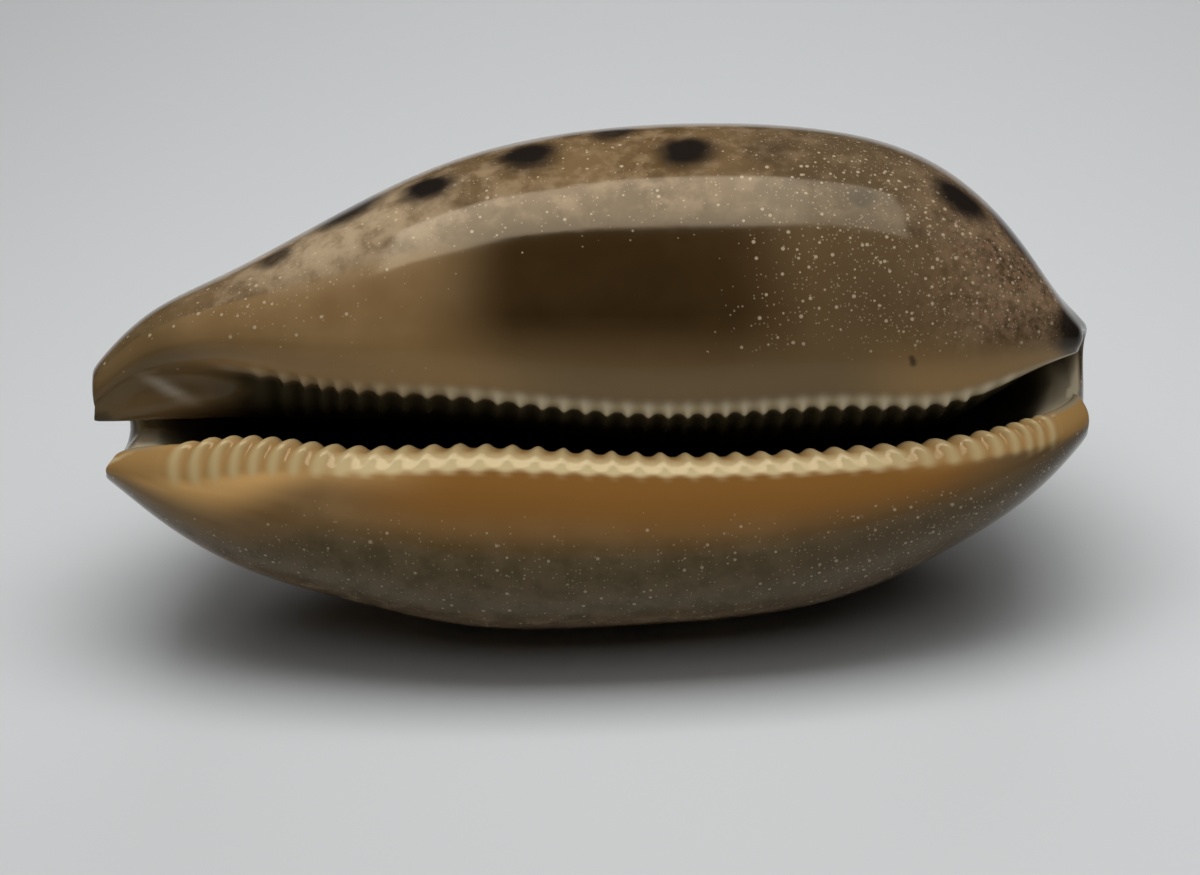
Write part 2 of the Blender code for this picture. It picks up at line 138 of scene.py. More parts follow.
# Teeth: where every fifth one stands along each lip, how far they rise, how far they run, how narrow they are
TOOTH_NUMBERS = [-5, 0, 5, 10, 15, 20, 25, 30, 34, 37, 42]
OUTER_TEETH_X = [-44.2, -32.9, -20.5, -6.6, 6.3, 19.6, 32.8, 42.7, 47.3]
INNER_TEETH_X = [-39.7, -27.6, -15.6, -3.7, 7.4, 17.5, 28.1, 37.0, 43.9]
OUTER_TOOTH_RISE = 0.26
INNER_TOOTH_RISE = 0.26
OUTER_TOOTH_LENGTH = 2.8
TOOTH_LENGTHENING = 2.0
TOOTH_FADE = (1.5, 1.3, 1.8)
INNER_TOOTH_LENGTH = 2.0
OUTER_TOOTH_NARROW = 0.8
NARROWEST_TOOTH = 19.0
NARROW_TEETH = 10.0
INNER_TOOTH_NARROW = 1.7
TOOTH_FAN = 0.015
TOOTH_FAN_REACH = 7.0

# How finely the surface is divided: columns for each tooth, steps between the section's named points
COLUMNS_PER_TOOTH = 10
RIM_STEPS = (0, 15, 30, 45, 60, 75, 90)
END_STEPS = (90, 67, 45, 22, 0)
SPAN_STEPS = [6, 7, 6, 5, 7, 6, 7, 6, 6, 7, 6, 6, 5, 4, 5, 5]

# The spire's low knob at the posterior end
KNOB_W = 8.8
KNOB_N = 3.5
KNOB_RADIUS = 3.8
KNOB_RISE = 1.5
KNOB_FROM_X = 43.0
KNOB_OVER_X = 8.0

# Large dark spots: their uneven outline, their spread, and the share of it over which they fade; then
# for each one its middle x, w, n, half length, half width, turn in degrees and strength
SPOT_WOBBLE = 1.6
SPOT_WOBBLE_SCALE = 0.35
SPOT_SPREAD = 1.3
SPOT_FADE = (1.35, 0.45)
SPOTS = [
    (-33.9, 21.0, 10.5, 1.9, 1.4, 30.0, 0.8),
    (-25.8, 25.7, 7.8, 3.6, 2.2, 33.0, 0.9),
    (-17.2, 27.7, 10.9, 2.6, 2.3, 20.0, 1.0),
    (-6.3, 30.8, 9.7, 2.8, 2.8, 10.0, 1.0),
    (2.9, 33.0, 6.4, 2.1, 2.1, 0.0, 0.9),
    (10.8, 30.3, 11.8, 2.6, 2.6, 0.0, 1.0),
    (19.7, 29.8, 11.8, 2.2, 1.8, 0.0, 0.35),
    (29.0, 24.0, 15.6, 1.2, 1.0, 0.0, 0.5),
    (40.0, 23.8, 11.5, 3.1, 2.0, -55.0, 1.0),
    (46.5, 19.5, 9.0, 4.0, 1.7, -58.0, 0.85),
    (51.4, 9.0, 10.8, 2.2, 2.2, 0.0, 0.9),
    (-49.5, 7.8, 6.8, 0.9, 0.7, 0.0, 0.8),
    (-53.9, 4.8, 6.0, 1.3, 1.0, 0.0, 0.8),
    (-39.7, 0.4, 11.2, 0.5, 0.4, 0.0, 0.7),
    (26.2, -3.7, 13.6, 0.5, 0.4, 0.0, 0.7),
    (33.2, 6.5, 17.2, 0.4, 0.4, 0.0, 0.7),
]

# Dark spots drawn by lot over the back: how far they keep from the two sides, which part of the length they
# leave free at each end, their least distance apart, and the limits of each one's values
BACK_SPOT_SEED = 7
BACK_SPOT_TRIES = 90
BACK_SPOT_EDGES = (3.0, 5.0)
BACK_SPOT_FREE_PART = 7
BACK_SPOT_GAP = 10.5
BACK_SPOT_REACH = (1.8, 4.2)
BACK_SPOT_SLENDERNESS = (0.7, 1.0)
BACK_SPOT_TURN = (-40.0, 40.0)
BACK_SPOT_STRENGTH = (0.55, 1.0)

# Small pale marks near the anterior tip: the same seven values
PALE_MARKS = [
    (-52.0, 0.3, 7.2, 2.1, 0.28, 18.0, 0.9),
    (-49.4, -2.0, 8.0, 1.6, 0.25, -48.0, 0.7),
    (-48.6, -2.9, 8.3, 0.9, 0.22, 35.0, 0.6),
    (-47.2, 0.8, 8.2, 1.0, 0.8, 0.0, 0.7),
]

# A painted highlight in the anterior beak's hollow: its middle x and w, its line, its reach along and across
BEAK_HIGHLIGHT_MIDDLE = (-46.5, 7.7)
BEAK_HIGHLIGHT_LINE = (0.87, 0.49)
BEAK_HIGHLIGHT_REACH = (2.6, 0.6)

# White specks, coarse and fine: the cell that each stands in, its radius, the share of cells with one; then
# the spread of the radii, how much of a speck is solid, and how strongly they show
SPECKS = ((0.90, 0.23, 0.95), (0.42, 0.13, 0.95))
SPECK_SIZES = (0.55, 1.15)
SPECK_SOLID = 0.6
FINE_SPECK_STRENGTH = 0.55
SPECK_STRENGTH = 0.62

# Cloudy noises: size of the clouds in millimetres, detail and roughness
CLOUDS = (9.0, 3.0, 0.55)
CURDS = (2.6, 3.0, 0.6)
GRAINS = (0.8, 2.0, 0.6)
PATCHES = (5.5, 4.0, 0.65)

# Colours as red, green and blue; a pair is mixed by a noise or by a mask
TAN = ((0.200, 0.118, 0.048), (0.250, 0.156, 0.070))
MARGIN_GREY = ((0.080, 0.055, 0.022), (0.122, 0.085, 0.042))
BACK_BROWN = ((0.095, 0.056, 0.023), (0.160, 0.100, 0.046))
POSTERIOR_BROWN = (0.075, 0.046, 0.021)
MOTTLE_FAWN = (0.275, 0.186, 0.104)
# Pale fawn mottle: partly the shell's own colour, partly a painted highlight at the left end of the lamp's
# gloss band
PALE_FAWN_AND_HIGHLIGHT = (0.390, 0.290, 0.180)
POSTERIOR_DUN = (0.105, 0.072, 0.040)
LIP_AMBER = (0.250, 0.114, 0.027)
LIP_FLESH = (0.700, 0.410, 0.150)
# Brow tan: its own tan brightened as painted light where the brow faces away from the lamp, then a darker
# copy as painted shade
BROW_LIGHT_AND_SHADE_TAN = ((0.430, 0.258, 0.100), (0.240, 0.160, 0.074))
# A painted dark reflection of the dark room in front, on the middle of the base
PAINTED_REFLECTION_BROWN = (0.036, 0.019, 0.006)
PATCH_BROWN = ((0.045, 0.030, 0.015), (0.200, 0.138, 0.080))
GRAIN_ROSE = (0.300, 0.180, 0.110)
BEAK_BROWN = (0.110, 0.072, 0.030)
SCOOP_BROWN = (0.190, 0.125, 0.058)
# A painted highlight on the ridge in the anterior beak's hollow
BEAK_HIGHLIGHT_PEARL = (0.620, 0.540, 0.410)
DUSK_GREY = (0.075, 0.060, 0.040)
SPECK_WHITE = (0.540, 0.430, 0.290)
# Dark tips; on the posterior knob the same black is painted shade
TIP_AND_KNOB_SHADE_BLACK = (0.036, 0.024, 0.012)
SPOT_BLACK = (0.012, 0.009, 0.007)
# Outer lip's teeth: the first, darker colour between the teeth is partly painted shade, the second the cream
# crests
OUTER_TOOTH_CREAM = ((0.380, 0.220, 0.078), (0.520, 0.382, 0.185))
# A painted highlight: the overhead lamp's reflection along the outer lip's teeth
PAINTED_HIGHLIGHT_CREAM = (0.720, 0.570, 0.310)
INNER_TOOTH_CREAM = ((0.500, 0.410, 0.255), (0.780, 0.670, 0.460))
PALE_MARK_CREAM = (0.620, 0.480, 0.270)
# Painted shade: near black inside the slit, darker still between the ridges
SLIT_SHADE_OLIVE = ((0.035, 0.028, 0.014), (0.070, 0.058, 0.032))
CANAL_CREAM = (0.270, 0.215, 0.135)
# Inside: the first colour is painted shade deep inside, the second the pale lining near the ends
LINING_AND_INSIDE_SHADE = ((0.040, 0.030, 0.018), (0.720, 0.610, 0.420))

# The enamel's gloss, and its faint waviness in millimetres
ENAMEL_ROUGHNESS = (0.07, 0.16)
ENAMEL_IOR = 1.6
ENAMEL_SPECULAR = 0.24
ENAMEL_TINT = (1.0, 0.86, 0.62)
WAVE_SIZE = 14.0
WAVE_HEIGHT = 0.35
CURD_HEIGHT = 0.02

# The table, in metres
TABLE_REACH = 3.0
TABLE_WHITE = (0.635, 0.650, 0.657)
TABLE_ROUGHNESS = 0.6

# The view: how far off the camera stands, its roll, and its lens for a 36 mm wide frame
VIEW_DISTANCE = 350.0
VIEW_ROLL = 2.84
LENS = 94.8

# Lights, in metres: name, size, place, what it faces, radiance, and whether the gloss mirrors it
LIGHTS = [
    ("overhead", (0.181, 0.155), (-0.027, 0.0, 0.28), (-0.027, 0.0, 0.0), 4.7, True),
    ("overhead_right", (0.086, 0.155), (0.107, 0.0, 0.28), (0.107, 0.0, 0.0), 2.9, True),
    ("haze", (0.36, 0.36), (0.03, -0.08, 0.28), (0.03, -0.08, 0.0), 0.68, False),
    ("rear", (0.30, 0.18), (0.04, 0.30, 0.22), (0.04, 0.16, 0.0), 1.6, False),
]
STUDIO_LIGHT = 0.008


def mix(low, high, share):
    """The value a share of the way from low to high: low + (high - low) x share."""
    return low + (high - low) * share


def ease(value):
    """A smooth step from 0 to 1: 3v^2 - 2v^3, held at 0 and 1 outside."""
    value = np.clip(value, 0.0, 1.0)
    return value * value * (3.0 - 2.0 * value)


def rise(value, start, over):
    """A smooth step up, from 0 at its start to 1 once it has run over its length."""
    return ease((value - start) / over)


def fall(value, end, over):
    """A smooth step down over its length, to 0 at its end."""
    return ease((end - value) / over)


def hill(value, centre, reach):
    """A bell of height 1: e to the minus ((value - centre) / reach) squared."""
    return np.exp(-((value - centre) / reach) ** 2)


def spline_weights(knots, places):
    """Weights that read a natural cubic spline: one row for each place, one column for each knot."""
    knots = np.asarray(knots, float)
    places = np.asarray(places, float)
    count = len(knots)
    gap = np.diff(knots)
    left = np.eye(count)
    right = np.zeros((count, count))
    rows = np.arange(1, count - 1)
    left[rows, rows - 1] = gap[:-1]
    left[rows, rows] = 2.0 * (gap[:-1] + gap[1:])
    left[rows, rows + 1] = gap[1:]
    right[rows, rows - 1] = 6.0 / gap[:-1]
    right[rows, rows] = -6.0 / gap[:-1] - 6.0 / gap[1:]
    right[rows, rows + 1] = 6.0 / gap[1:]
    bend = np.linalg.solve(left, right)
    cell = np.clip(np.searchsorted(knots, places, side="right") - 1, 0, count - 2)
    far = ((places - knots[cell]) / gap[cell])[:, None]
    near = 1.0 - far
    pick = np.eye(count)
    width = gap[cell][:, None] ** 2 / 6.0
    straight = near * pick[cell] + far * pick[cell + 1]
    curved = width * ((near ** 3 - near) * bend[cell] + (far ** 3 - far) * bend[cell + 1])
    return straight + curved


def profile(values, angle):
    """A profile's value at each angle along the length, by the spline through one value each 15 degrees."""
    stations = np.radians(-90.0 + PROFILE_STEP * np.arange(len(values)))
    flat = spline_weights(stations, np.ravel(angle)) @ np.array(values, float)
    return flat.reshape(np.shape(angle))


def point(ends, w, n, angle):
    """A named point: x = middle of its ends + half their distance x sine of the angle."""
    x = mix(ends[0], ends[1], (1.0 + np.sin(angle)) / 2.0)
    return np.stack([x, w, n], axis=-1)


def shoulder(side, crown, fullness):
    """The point of a rounded quarter between a side, where it is steep, and a crown, where it is level."""
    x = mix(side[..., 0], crown[..., 0], 0.5)
    w = mix(crown[..., 1], side[..., 1], fullness)
    n = mix(side[..., 2], crown[..., 2], fullness)
    return np.stack([x, w, n], axis=-1)


def shifted(base, w, n):
    """A point moved across and out."""
    zero = np.zeros(base.shape[:-1])
    return base + np.stack([zero, zero + w, zero + n], axis=-1)


def inset(base, wall, w, n, angle):
    """A point moved in by the wall: across and out by the given shares, and inward along x near the ends."""
    end, side = SLENDERNESS * np.sin(angle), np.cos(angle)
    slant = np.hypot(end, side)
    return base + np.stack([-wall * end / slant, w * wall * side / slant, n * wall * side / slant], axis=-1)


def named_points(angle):
    """The named points of the section's outer and inner curves, for each angle."""
    side_n = profile(SIDE_N, angle)
    high_w = profile(HIGH_SIDE_W, angle)
    low_w = profile(LOW_SIDE_W, angle)
    outer_lip_w = profile(OUTER_LIP_W, angle)
    inner_lip_w = profile(INNER_LIP_W, angle)
    outer_lip_n = profile(OUTER_LIP_N, angle)
    fullness = np.cos(angle)

    edge = point(OUTER_LIP_ENDS, outer_lip_w, outer_lip_n, angle)
    outer_base_w = mix(outer_lip_w, low_w, OUTER_BASE_SHARE)
    outer_base_n = outer_lip_n + OUTER_BASE_RISE[0] + OUTER_BASE_RISE[1] * fullness
    outer_base = point(OUTER_BASE_ENDS, outer_base_w, outer_base_n, angle)
    low_side = point(LOW_SIDE_ENDS, low_w, side_n, angle)
    back = point(BACK_ENDS, (low_w + high_w) / 2.0, profile(BACK_N, angle), angle)
    high_side = point(HIGH_SIDE_ENDS, high_w, side_n, angle)
    inner_base_w = mix(inner_lip_w, high_w, INNER_BASE_SHARE)
    inner_base = point(INNER_BASE_ENDS, inner_base_w, profile(BASE_N, angle), angle)
    inner_lip = point(INNER_LIP_ENDS, inner_lip_w, profile(INNER_LIP_N, angle), angle)
    fold = point(FOLD_ENDS, profile(FOLD_W, angle), profile(FOLD_N, angle), angle)

    half = OUTER_LIP_WALL / 2.0 * mix(0.5, 1.0, fullness)
    crisp = ease((fullness - CRISP_FROM) / CRISP_OVER)
    foot_share = LIP_FOOT_SHARE * (1.0 - crisp[..., None])
    rise = inner_base[..., 2] - inner_lip[..., 2]
    lip_top = shifted(edge, LIP_FACES[0] * half, LIP_FACES[1] * half)
    low_shoulder = shoulder(low_side, outer_base, LOW_ROUNDNESS)
    low_back = shoulder(low_side, back, LOW_ROUNDNESS)
    high_back = shoulder(high_side, back, HIGH_ROUNDNESS)
    high_shoulder = shoulder(high_side, inner_base, HIGH_ROUNDNESS)
    outer = [
        lip_top,
        shifted(mix(lip_top, outer_base, LIP_SLOPE_SHARE), 0.0, LIP_SLOPE_RISE * fullness),
        outer_base,
        low_shoulder,
        low_side,
        low_back,
        back,
        high_back,
        high_side,
        high_shoulder,
        inner_base,
        shifted(mix(inner_lip, inner_base, SLOPE_SHARE), 0.0, SLOPE_RISE * rise),
        shifted(mix(inner_lip, inner_base, BROW_SHARE), 0.0, BROW_RISE * rise),
        inner_lip,
        shifted(mix(inner_lip, fold, foot_share), LIP_FOOT_W * crisp, -LIP_FOOT_DROP * crisp),
        shifted(mix(fold, inner_lip, WALL_SHARE), WALL_W * crisp, 0.0),
        fold,
        shifted(fold, UNDER_W[0] * fullness, -UNDER_DROP[0] - UNDER_DROP[1] * fullness),
    ]

    hollow = ease((fullness - HOLLOW_FROM) / HOLLOW_OVER)[..., None]
    inside_high = inset(high_side, HIGH_SIDE_WALL, -1.0, 0.0, angle)
    under = shifted(fold, UNDER_W[1] * fullness, -UNDER_DROP[0] - INSIDE_UNDER_DROP * fullness)
    under = inset(under, FOLD_WALL, 0.8, 0.0, angle)
    open_points = [
        inset(high_shoulder, HIGH_SIDE_WALL, -1.0, -1.0, angle),
        inset(inner_base, INNER_BASE_WALL, 0.0, -1.0, angle),
        inset(inner_lip, INNER_BASE_WALL, 0.8, -0.65, angle),
        inset(fold, FOLD_WALL, 1.0, 0.0, angle),
    ]
    closed_points = [mix(inside_high, under, share) for share in CLOSED_SHARES]
    canal = ease((CANAL_FROM - fullness) / CANAL_OVER)[..., None]
    inside_edge = inset(edge, half, -LIP_FACES[0], -LIP_FACES[1], angle)
    inside_back = inset(back, BACK_WALL, 0.0, 1.0, angle)
    rise_to_edge = np.maximum(inside_edge[..., 2] - inside_back[..., 2], 0.0)
    inside_back = shifted(inside_back, 0.0, CANAL_FLOOR * canal[..., 0] * rise_to_edge)
    round_points = [
        inside_edge,
        inset(outer_base, 2.0 * half, 0.0, -1.0, angle),
        inset(low_shoulder, LOW_SIDE_WALL, 1.0, -1.0, angle),
        inset(low_side, LOW_SIDE_WALL, 1.0, 0.0, angle),
        inset(low_back, BACK_WALL, HALFWAY_ROUND, HALFWAY_ROUND, angle),
    ]
    sloping_points = [mix(inside_edge, inside_back, share) for share in CANAL_SHARES]
    inner = [
        *[mix(full, slant, canal) for full, slant in zip(round_points, sloping_points)],
        inside_back,
        inset(high_back, BACK_WALL, -HALFWAY_ROUND, HALFWAY_ROUND, angle),
        inside_high,
        *[mix(shut, clear, hollow) for shut, clear in zip(closed_points, open_points)],
        under,
    ]
    return np.stack(outer, axis=-2), np.stack(inner, axis=-2)


OUTER_NAMES = ["edge", "lip_slope", "outer_base", "low_shoulder", "low_side", "low_back", "back", "high_back",
               "high_side", "high_shoulder", "inner_base", "slope", "brow", "inner_lip", "lip_foot", "wall",
               "fold", "under"]
INNER_FOLLOWS = [0, 2, 3, 4, 5, 6, 7, 8, 9, 10, 13, 16, 17]


def section_knots():
    """How far along the middle section each named point of its outer curve lies, by straight steps."""
    outer, _ = named_points(np.zeros(1))
    steps = np.linalg.norm(np.diff(outer[0, :, 1:], axis=0), axis=1)
    return np.concatenate([[0.0], np.cumsum(steps)])


def section_places(knots):
    """The places round the section: close together round each rim, even between the named points."""
    rim = OUTER_LIP_WALL / 2.0
    places = [rim * (1.0 - math.cos(math.radians(a))) for a in RIM_STEPS]
    for i, count in enumerate(SPAN_STEPS):
        start = max(knots[i], rim)
        places += [mix(start, knots[i + 1], (j + 1) / count) for j in range(count)]
    rim = FOLD_WALL / 2.0
    places += [knots[-1] - rim * (1.0 - math.cos(math.radians(a))) for a in END_STEPS]
    return np.array(places)


def tooth_angles(teeth_x, ends, numbers):
    """The angle at which each tooth number stands on a lip, by the spline through every fifth tooth."""
    middle = (ends[0] + ends[1]) / 2.0
    reach = (ends[1] - ends[0]) / 2.0
    known = np.arcsin((np.array(teeth_x) - middle) / reach)
    known = np.concatenate([[-math.pi / 2.0], known, [math.pi / 2.0]])
    return spline_weights(TOOTH_NUMBERS, numbers) @ known


def column_angles(numbers, places, knots):
    """The angle of each column at each place: the outer lip's, eased over the back into the inner lip's."""
    outer = tooth_angles(OUTER_TEETH_X, OUTER_LIP_ENDS, numbers)[:, None]
    inner = tooth_angles(INNER_TEETH_X, INNER_LIP_ENDS, numbers)[:, None]
    base, far_base = knots[OUTER_NAMES.index("outer_base")], knots[OUTER_NAMES.index("inner_base")]
    angle = mix(outer, inner, ease((places - base) / (far_base - base))[None, :])
    fan = TOOTH_FAN * places * np.exp(-(places / TOOTH_FAN_REACH) ** 2)
    return np.clip(angle + fan[None, :] * np.sin(2.0 * outer), -math.pi / 2.0, math.pi / 2.0)


def round_rim(distance, radius):
    """How open the wall is at a distance from its edge: a quarter circle up to the radius, then 1."""
    near = 1.0 - np.clip(distance / radius, 0.0, 1.0)
    return np.sqrt(1.0 - near * near)


def sheet(numbers, places, knots):
    """The outer and inner surfaces: middle surface plus and minus half the wall, closed in a rim round it."""
    angle = column_angles(numbers, places, knots)
    outer_points, inner_points = named_points(angle)
    outer = np.einsum("cpnk,pn->cpk", outer_points, spline_weights(knots, places))
    inner = np.einsum("cpnk,pn->cpk", inner_points, spline_weights(knots[INNER_FOLLOWS], places))
    open_lips = round_rim(places, OUTER_LIP_WALL / 2.0) * round_rim(knots[-1] - places, FOLD_WALL / 2.0)
    high_side, inner_base = knots[OUTER_NAMES.index("high_side")], knots[OUTER_NAMES.index("inner_base")]
    rim = mix(END_RIM_ANGLE, KNOB_RIM_ANGLE, ease((places - high_side) / (inner_base - high_side)))
    open_ends = round_rim(90.0 - np.degrees(np.abs(angle)), rim[None, :])
    opening = (open_lips[None, :] * open_ends)[..., None]
    middle = (outer + inner) / 2.0
    half = (outer - inner) / 2.0
    return middle + opening * half, middle - opening * half


def outward(outer, inner):
    """Unit normals of the outer surface: the cross product of its steps round the section and along it."""
    ring = np.concatenate([outer, inner[:, -2:0:-1]], axis=1)
    round_it = np.roll(ring, -1, axis=1) - np.roll(ring, 1, axis=1)
    along_it = np.gradient(ring, axis=0)
    normal = np.cross(round_it, along_it)
    normal /= np.maximum(np.linalg.norm(normal, axis=-1, keepdims=True), 1e-9)
    return normal[:, :outer.shape[1]]


def tooth_wave(numbers, narrow):
    """A tooth at each whole number: 2 x ((1 + cosine) / 2) to the power narrow - 1."""
    return 2.0 * ((1.0 + np.cos(2.0 * math.pi * numbers)) / 2.0) ** narrow - 1.0


def tooth_length(numbers):
    """How far the outer lip's teeth run at each tooth number: longest towards both ends, by a cube."""
    from_middle = np.abs(2.0 * numbers / TOOTH_NUMBERS[-2] - 1.0)
    return OUTER_TOOTH_LENGTH * (1.0 + TOOTH_LENGTHENING * from_middle ** 3)


def tooth_rise(numbers, places, knots):
    """How far the teeth lift the outer surface: each lip's wave, faded to the ends and away from the lip."""
    inner_lip = knots[OUTER_NAMES.index("inner_lip")]
    fold = knots[OUTER_NAMES.index("fold")]
    last = TOOTH_NUMBERS[-2]
    ends = rise(numbers, -1.0, 2.0) * fall(numbers, last + 1.0, 2.0)
    reach = tooth_length(numbers)[:, None]
    fade = fall(places[None, :], TOOTH_FADE[0] * reach, TOOTH_FADE[1] * reach) ** TOOTH_FADE[2]
    past = places - inner_lip
    inner = np.where(past < 0.0, ease(1.0 + past / INNER_TOOTH_LENGTH), ease(1.0 - past / (fold - inner_lip)))
    inner_ends = rise(numbers, 0.2, 1.5) * fall(numbers, last - 0.8, 1.5)
    narrow = OUTER_TOOTH_NARROW * (1.0 + hill(numbers, NARROWEST_TOOTH, NARROW_TEETH))
    outer_wave = tooth_wave(numbers, narrow)
    inner_wave = tooth_wave(numbers, INNER_TOOTH_NARROW)
    outer = (outer_wave * ends)[:, None] * OUTER_TOOTH_RISE * fade
    return outer + (inner_wave * inner_ends)[:, None] * INNER_TOOTH_RISE * inner


def knob(points):
    """Push the posterior end of the inner lip's side out by a bell across it, eased in along the length."""
    across = (points[..., 1] - KNOB_W) ** 2 + (points[..., 2] - KNOB_N) ** 2
    push = KNOB_RISE * np.exp(-across / KNOB_RADIUS ** 2) * rise(points[..., 0], KNOB_FROM_X, KNOB_OVER_X)
    zero = np.zeros(push.shape)
    return points + np.stack([push, zero, zero], axis=-1)


def laid_down(points):
    """Turn points of the shell's frame about x, by the angle at which the shell lies."""
    turn = math.radians(SHELL_TURN)
    x, w, n = points[..., 0], points[..., 1], points[..., 2]
    y = w * math.sin(turn) - n * math.cos(turn)
    z = w * math.cos(turn) + n * math.sin(turn)
    return np.stack([x, y, z], axis=-1)


def resting_place(outer):
    """What to take off laid-down points so that the shell fills the solid's box and rests on its flat."""
    low, high = outer.min(axis=(0, 1)), outer.max(axis=(0, 1))
    cad_low, cad_high = np.array(CAD_BOX) / MM
    middle = (low + high) / 2.0 - (cad_low + cad_high) / 2.0
    return np.array([middle[0], middle[1], low[2] + FLAT_DEPTH])


def sheet_faces(columns, places):
    """Corner numbers of every face of the closed sheet; the inner surface shares the outer's rim points."""
    outer = np.arange(columns * places).reshape(columns, places)
    inner = outer.copy()
    within = (columns - 2, places - 2)
    inner[1:-1, 1:-1] = columns * places + np.arange(within[0] * within[1]).reshape(within)
    quads = []
    for grid in (outer, inner[:, ::-1]):
        quad = [grid[:-1, :-1], grid[:-1, 1:], grid[1:, 1:], grid[1:, :-1]]
        quads.append(np.stack(quad, axis=-1).reshape(-1, 4))
    return np.concatenate(quads)


def lip_marks(numbers, s, x, at):
    """Masks of the teeth and of what runs along the lips: products of smooth steps and bells of s and x."""
    last = TOOTH_NUMBERS[-2]
    lip = at["inner_lip"]
    reach = np.broadcast_to(tooth_length(numbers)[:, None], s.shape)
    crest = ((1.0 + np.cos(2.0 * math.pi * numbers)) / 2.0) * rise(numbers, -1.0, 1.0)
    crest = (crest * fall(numbers, last + 1.0, 1.0))[:, None]
    scallop = 0.3 * (crest - 0.5)
    ends = np.maximum(fall(x, -14.0, 16.0), rise(x, 30.0, 12.0))
    flesh_to = 7.5 + 8.0 * fall(x, -28.0, 16.0)
    inner_row = rise(s, lip - 1.9, 1.5) * fall(s, lip + 1.9, 1.2)
    return {
        "crest": np.broadcast_to(crest, s.shape),
        # the teeth cream's crisp scalloped lower border follows the edge of the lamp's highlight, which the
        # next mask paints
        "outer_teeth": fall(s, 0.9 + 1.125 * reach + scallop, 0.25 * reach),
        "painted_highlight": rise(s, 1.5 + scallop, 0.9) * rise(x, -33.0, 9.0) * fall(x, 36.0, 9.0),
        "inner_teeth": inner_row * rise(x, -43.0, 6.0) * (0.35 + 0.65 * rise(x, -30.0, 24.0)),
        # painted shade on the wall inside the slit and on the outer lip's inner edge
        "slit": np.maximum(rise(s, lip + 0.5, 1.6), fall(s, 0.5, 0.5)) * rise(x, -45.0, 9.0),
        "amber": rise(s, 2.2, 2.0) * fall(s, 12.5, 6.0) * rise(x, -34.0, 18.0) * fall(x, 48.0, 15.0),
        "flesh": rise(s, 2.0, 2.0) * fall(s, flesh_to, 6.0) * ends,
        # lip_brow carries the brow's painted light; shade is where it takes the darker painted shade instead
        "lip_brow": hill(s, lip - 2.6, 4.6) * rise(x, -50.0, 12.0),
        "shade": rise(x, -16.0, 14.0) * fall(x, 36.0, 12.0),
        "canal": rise(np.abs(x), 46.5, 4.0) * fall(s, 3.2, 1.6),
    }


def side_marks(s, x, at):
    """Masks of the base, the sides and the back, made the same way."""
    lip = at["inner_lip"]
    upper = rise(s, at["high_side"], 8.0)
    margin_from = 9.5 + 6.5 * fall(x, -28.0, 16.0) + 2.0 * rise(x, 34.0, 10.0)
    dark = np.maximum(fall(x, 31.0, 18.0), 0.4 * fall(x, 44.0, 14.0))
    back = rise(s, 17.0, 12.0) * fall(s, at["inner_base"] - 5.0, 2.8)
    posterior_specks = rise(x, 10.0, 20.0) * upper * fall(s, 150.5, 6.0)
    anterior_specks = 0.6 * hill(x, -34.0, 12.0) * hill(s, 133.0, 10.0)
    margin_specks = rise(s, margin_from - 2.0, 5.0) * fall(s, 60.0, 20.0) * (0.4 + 0.6 * rise(x, 14.0, 22.0))
    return {
        "margin": rise(s, margin_from, 4.0) * fall(s, at["low_back"], 16.0),
        "back": back,
        "posterior": rise(x, 8.0, 22.0),
        # painted dark reflection on the middle of the base
        "painted_dark_reflection": rise(s, 132.5, 3.0) * fall(s, lip - 2.0, 9.0) * rise(x, -20.5, 13.0) * dark,
        # pale mottle, partly own colour and partly a painted highlight at the left end of the gloss band
        "pale": hill(x, -27.0, 12.0) * rise(s, at["high_side"], 12.0) * fall(s, 139.0, 9.0),
        "grain": rise(x, 30.0, 16.0) * upper * fall(s, lip - 3.0, 7.0),
        "speckle": np.maximum.reduce([posterior_specks, anterior_specks, margin_specks, 0.3 * back]),
    }


def end_marks(s, x, w, at):
    """Masks of the two tips, made the same way, with painted shade on the posterior knob; the beak's painted
    highlight is a bell along a slanting line and one across.
    """
    away_x, away_w = x - BEAK_HIGHLIGHT_MIDDLE[0], w - BEAK_HIGHLIGHT_MIDDLE[1]
    along = BEAK_HIGHLIGHT_LINE[0] * away_x - BEAK_HIGHLIGHT_LINE[1] * away_w
    across = BEAK_HIGHLIGHT_LINE[1] * away_x + BEAK_HIGHLIGHT_LINE[0] * away_w
    beak_highlight = hill(along, 0.0, BEAK_HIGHLIGHT_REACH[0]) * hill(across, 0.0, BEAK_HIGHLIGHT_REACH[1])
    side_dusk = rise(x, 42.0, 8.0) * rise(s, 11.0, 6.0) * fall(s, at["low_back"], 10.0)
    tip_dusk = 0.8 * rise(x, 49.5, 3.0) * rise(s, 3.5, 3.0) * fall(s, 40.0, 9.0)
    anterior_rim = fall(x, -44.0, 6.0) * rise(s, at["back"], 10.0) * fall(s, at["high_shoulder"], 10.0)
    # posterior_rim and knob_top are partly painted shade on the knob, which recedes from the light
    posterior_rim = 0.8 * rise(x, 39.0, 7.0) * rise(s, at["high_back"], 10.0) * fall(s, 127.0, 9.0)
    knob_top = rise(x, 49.5, 2.5) * rise(s, at["high_side"], 8.0)
    return {
        "beak": fall(x, -41.0, 7.0) * rise(s, at["back"], 10.0),
        "scoop": fall(x, -36.0, 8.0) * rise(s, at["slope"] - 3.0, 5.0),
        "beak_highlight": beak_highlight * rise(s, at["brow"] - 1.0, 2.0),
        "dusk": np.maximum(side_dusk, tip_dusk),
        "tips": np.maximum.reduce([anterior_rim, posterior_rim, knob_top]),
    }


